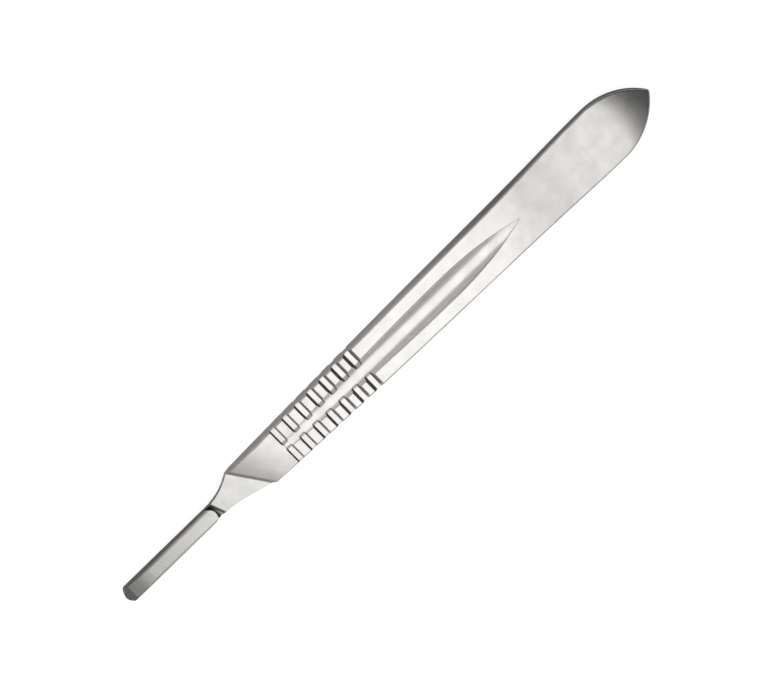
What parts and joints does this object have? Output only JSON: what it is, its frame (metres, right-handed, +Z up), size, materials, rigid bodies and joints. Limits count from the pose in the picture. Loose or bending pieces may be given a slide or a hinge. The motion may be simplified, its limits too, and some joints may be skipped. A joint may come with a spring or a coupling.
{
  "type": "scalpel handle",
  "caption": "Flat satin-steel scalpel handle: slotted tang for a detachable blade, slanted shoulder, grooved grip, ribbed channel and pointed tail.",
  "frame": {"origin": "under the middle of the handle's length, on the plane that it lies on", "axes": "+X from the tang's nose to the tail, +Z up out of the face that carries the blade, +Y across"},
  "size_m": [0.135, 0.0122, 0.0035],
  "materials": {
    "satin_steel": "satin ground stainless steel"
  },
  "bodies": {
    "root": {"handle": "satin_steel"}
  },
  "joints": []
}
